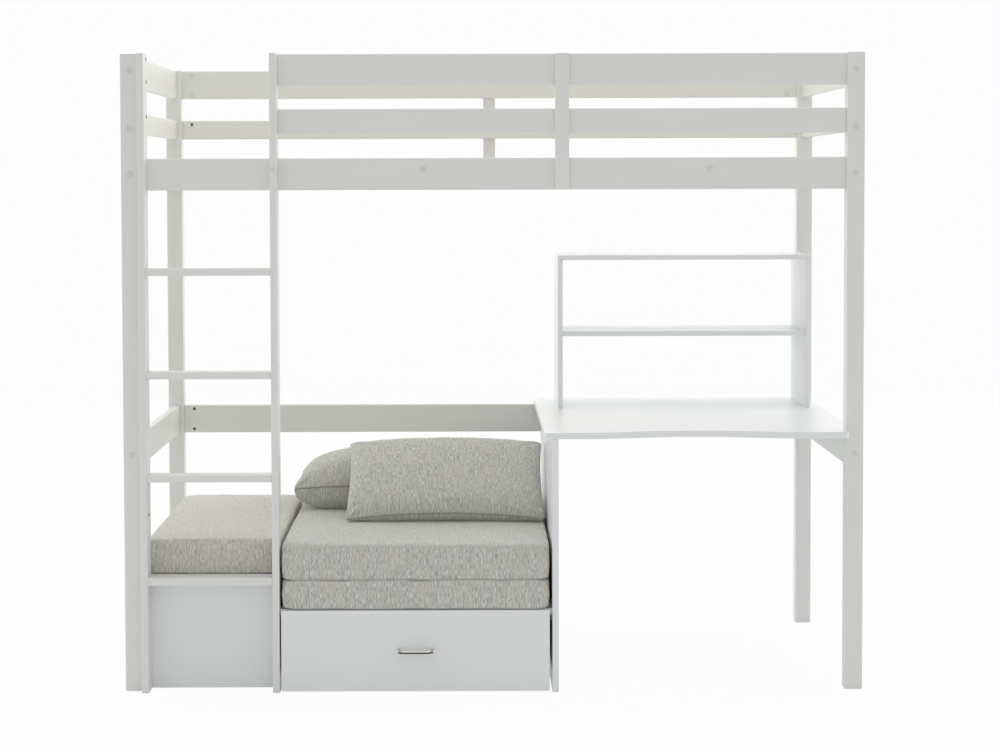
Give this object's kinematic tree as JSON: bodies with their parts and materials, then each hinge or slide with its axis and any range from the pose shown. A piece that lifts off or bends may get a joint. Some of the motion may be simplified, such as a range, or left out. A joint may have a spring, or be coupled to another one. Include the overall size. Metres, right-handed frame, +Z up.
{
  "type": "loft bed",
  "caption": "White loft bed on four posts with a ladder, guard rails, padded bench, folded guest mattress, wheeled drawer, desk and shelf unit below.",
  "frame": {"origin": "on the floor, in the middle of the bed's length and of its whole depth from the drawer handle to the back posts", "axes": "+X to the right of someone facing the bed, +Y from the front to the back, +Z up"},
  "size_m": [2.1, 1.0321, 1.81],
  "materials": {
    "lacquered_pine": "satin white lacquer over solid pine",
    "slat_pine": "planed bare pine",
    "coated_board": "white melamine coating on particle board",
    "brushed_nickel": "brushed nickel plating",
    "zinc_steel": "zinc plated pressed steel",
    "nylon_wheel": "moulded nylon",
    "linen_grey": "grey linen weave",
    "linen_warm": "warm grey linen weave"
  },
  "bodies": {
    "frame": {"post_front_left": "lacquered_pine", "post_front_right": "lacquered_pine", "post_back_left": "lacquered_pine", "post_back_right": "lacquered_pine", "side_rail_front": "lacquered_pine", "side_rail_back": "lacquered_pine", "end_rail_left": "lacquered_pine", "end_rail_right": "lacquered_pine", "guard_top_left": "lacquered_pine", "guard_top_right": "lacquered_pine", "guard_middle_left": "lacquered_pine", "guard_middle_right": "lacquered_pine", "lower_rail_left": "lacquered_pine", "lower_rail_right": "lacquered_pine", "guard_top_front": "lacquered_pine", "guard_middle_front": "lacquered_pine", "guard_top_back": "lacquered_pine", "guard_middle_back": "lacquered_pine", "lower_rail_back": "lacquered_pine", "guard_upright_front": "lacquered_pine", "guard_upright_back": "lacquered_pine", "ladder_stile_left": "lacquered_pine", "ladder_stile_right": "lacquered_pine", "ladder_rung_1": "lacquered_pine", "ladder_rung_2": "lacquered_pine", "ladder_rung_3": "lacquered_pine", "ladder_tread_bottom": "lacquered_pine", "platform_cleat_left": "lacquered_pine", "platform_cleat_right": "lacquered_pine", "slat_base": "slat_pine", "bench_front_panel": "coated_board", "bench_side_panel": "coated_board", "bench_partition": "coated_board", "bench_seat_board": "coated_board", "seat_platform": "coated_board", "desk_divider": "coated_board", "desk_top": "coated_board", "hutch_side_left": "coated_board", "hutch_side_right": "coated_board", "hutch_shelf_top": "coated_board", "hutch_shelf_middle": "coated_board", "seat_cushion": "linen_warm", "mattress_lower": "linen_grey", "mattress_upper": "linen_grey", "pillow_back": "linen_grey", "pillow_front": "linen_grey"},
    "drawer": {"drawer_front": "coated_board", "drawer_bottom": "coated_board", "drawer_side_left": "coated_board", "drawer_side_right": "coated_board", "drawer_back": "coated_board", "drawer_handle": "brushed_nickel", "caster_fork_front_left": "zinc_steel", "caster_fork_back_left": "zinc_steel", "caster_fork_front_right": "zinc_steel", "caster_fork_back_right": "zinc_steel"},
    "wheel_front_left": {"caster_wheel_front_left": "nylon_wheel"},
    "wheel_back_left": {"caster_wheel_back_left": "nylon_wheel"},
    "wheel_front_right": {"caster_wheel_front_right": "nylon_wheel"},
    "wheel_back_right": {"caster_wheel_back_right": "nylon_wheel"}
  },
  "joints": [
    {"name": "drawer_slide", "type": "slide", "parent": "frame", "child": "drawer", "axis": [0, -1, 0], "range_m": [0, 0.8]},
    {"name": "wheel_front_left_roll", "type": "hinge", "parent": "drawer", "child": "wheel_front_left", "pos_m": [-0.5377, -0.39955, 0.0193], "axis": [1, 0, 0], "range_deg": [-5, 2450]},
    {"name": "wheel_back_left_roll", "type": "hinge", "parent": "drawer", "child": "wheel_back_left", "pos_m": [-0.5377, 0.30045, 0.0193], "axis": [1, 0, 0], "range_deg": [-5, 2450]},
    {"name": "wheel_front_right_roll", "type": "hinge", "parent": "drawer", "child": "wheel_front_right", "pos_m": [0.0958, -0.39955, 0.0193], "axis": [1, 0, 0], "range_deg": [-5, 2450]},
    {"name": "wheel_back_right_roll", "type": "hinge", "parent": "drawer", "child": "wheel_back_right", "pos_m": [0.0958, 0.30045, 0.0193], "axis": [1, 0, 0], "range_deg": [-5, 2450]}
  ],
  "couplings": [
    {"joint": "wheel_front_left_roll", "follows": "drawer_slide", "rad_per_m": 52.632},
    {"joint": "wheel_back_left_roll", "follows": "drawer_slide", "rad_per_m": 52.632},
    {"joint": "wheel_front_right_roll", "follows": "drawer_slide", "rad_per_m": 52.632},
    {"joint": "wheel_back_right_roll", "follows": "drawer_slide", "rad_per_m": 52.632}
  ]
}
